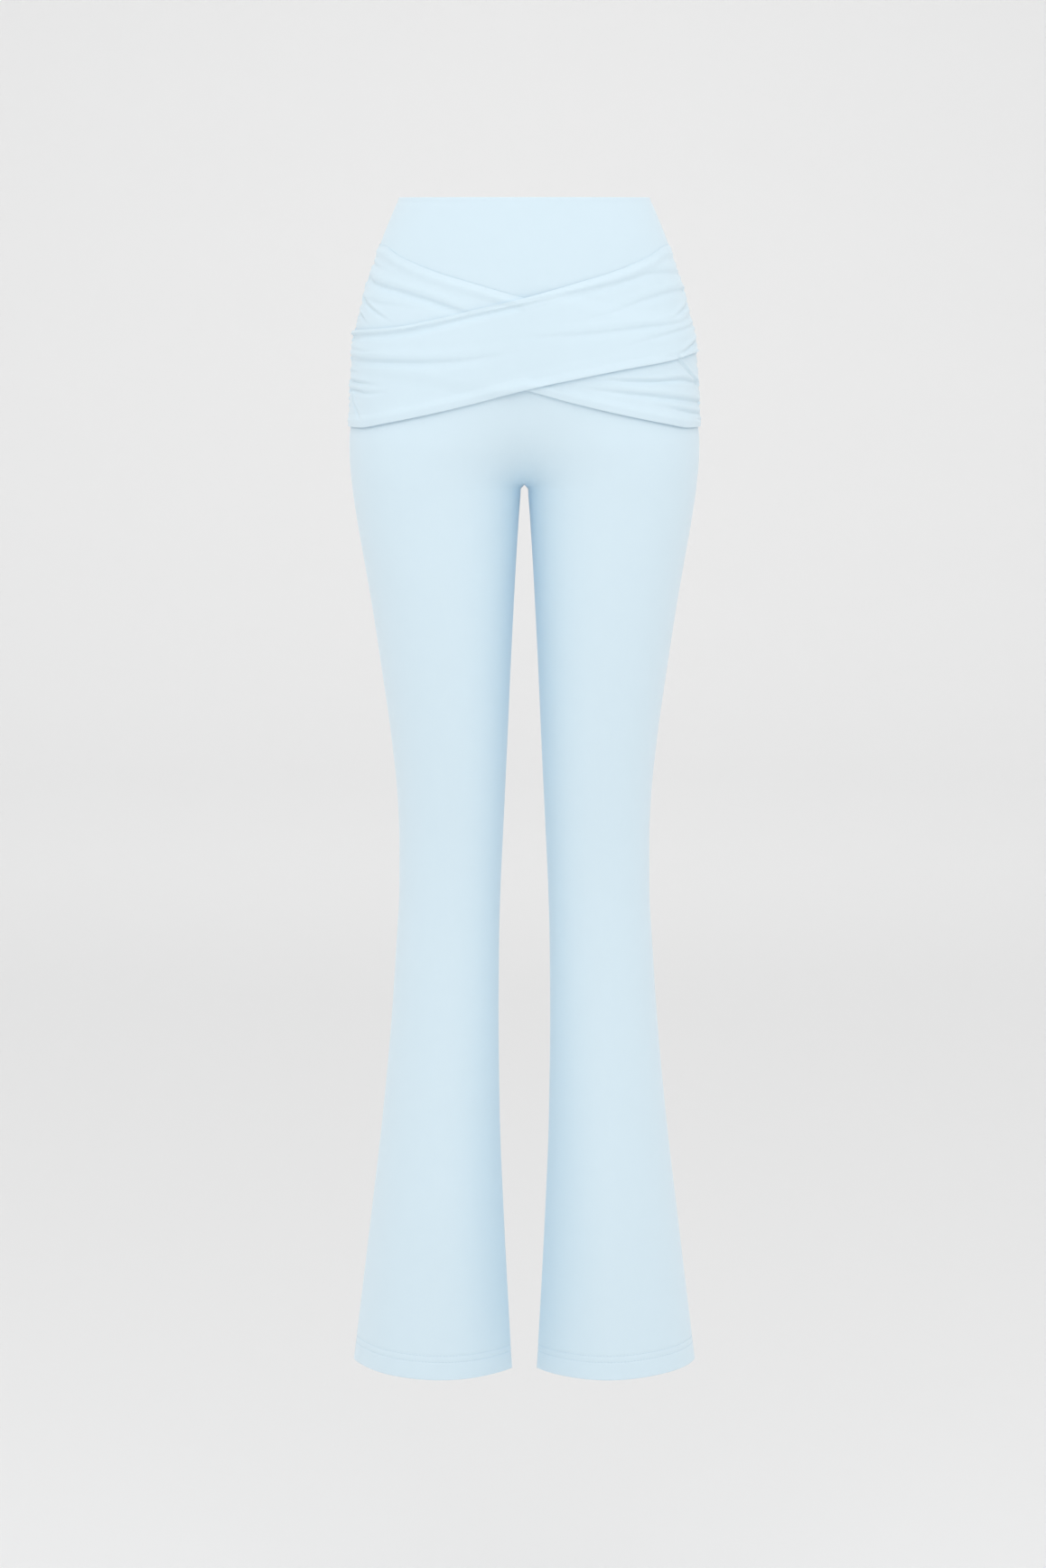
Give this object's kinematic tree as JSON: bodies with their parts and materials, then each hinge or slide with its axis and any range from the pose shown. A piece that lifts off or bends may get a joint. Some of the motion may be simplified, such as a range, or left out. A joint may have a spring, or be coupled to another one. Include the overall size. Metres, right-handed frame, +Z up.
{
  "type": "flared leggings",
  "caption": "High-waisted flared leggings in smooth stretch jersey with a crossed, gathered overskirt sewn over the hips, hollow and in worn shape.",
  "frame": {"origin": "the middle of the waist opening, level with the waist edge, where the wearer holds the garment up", "axes": "+Z is up and out of the waist, -Y is the front, and +X is the wearer's left"},
  "size_m": [0.3287, 0.239, 1.1021],
  "materials": {
    "leggings_jersey": "smooth matt stretch jersey with a faint satin sheen",
    "overskirt_jersey": "smooth matt stretch jersey with a faint satin sheen, gathered"
  },
  "bodies": {
    "root": {"waistband_front": "leggings_jersey", "waistband_back": "leggings_jersey", "leg_front_left": "leggings_jersey", "leg_front_right": "leggings_jersey", "leg_back_left": "leggings_jersey", "leg_back_right": "leggings_jersey", "band_under": "overskirt_jersey", "band_over": "overskirt_jersey", "overskirt_back": "overskirt_jersey"}
  },
  "joints": []
}
